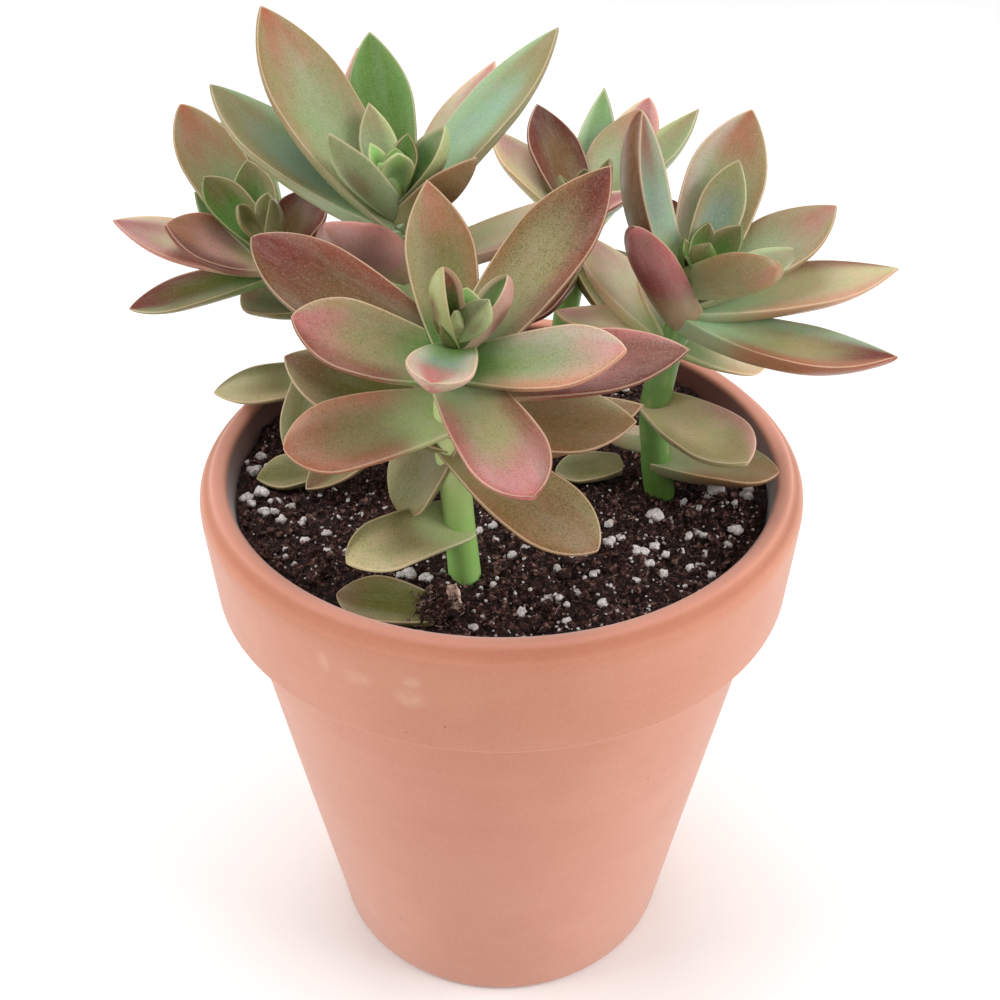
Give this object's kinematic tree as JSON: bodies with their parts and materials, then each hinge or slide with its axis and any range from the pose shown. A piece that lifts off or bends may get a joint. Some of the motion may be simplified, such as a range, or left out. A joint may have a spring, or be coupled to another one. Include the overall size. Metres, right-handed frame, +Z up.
{
  "type": "potted rosette succulent",
  "caption": "Branching rosette succulent with thick pointed olive, tan and pink leaves on green stems, rooted in peaty mix in a tapered clay pot with a deep rim.",
  "frame": {"origin": "centre of the pot's foot, on the surface that the pot stands on", "axes": "+Z up along the pot's axis; -Y is the front, towards the viewer of the plant; +X to the viewer's right"},
  "size_m": [0.1353, 0.1123, 0.1823],
  "materials": {
    "terracotta": "matte, porous fired clay",
    "potting_mix": "rough, peaty, with white perlite grains",
    "leaf_front": "waxy matte leaf, olive green with pink tips",
    "leaf_top": "waxy matte leaf, green with orange-brown edges",
    "leaf_left": "waxy matte leaf, olive green with brown-red tips",
    "leaf_right": "waxy matte leaf, tan to pink with red edges",
    "leaf_back": "waxy matte leaf, pale green and pink",
    "leaf_fallen": "waxy matte leaf, grey-green with a pale edge"
  },
  "bodies": {
    "root": {"pot": "terracotta", "soil": "potting_mix", "rosette_front": "leaf_front", "rosette_top": "leaf_top", "rosette_left": "leaf_left", "rosette_right": "leaf_right", "rosette_back": "leaf_back", "loose_leaf_front": "leaf_fallen", "loose_leaf_right": "leaf_fallen", "loose_leaf_left": "leaf_fallen"}
  },
  "joints": []
}
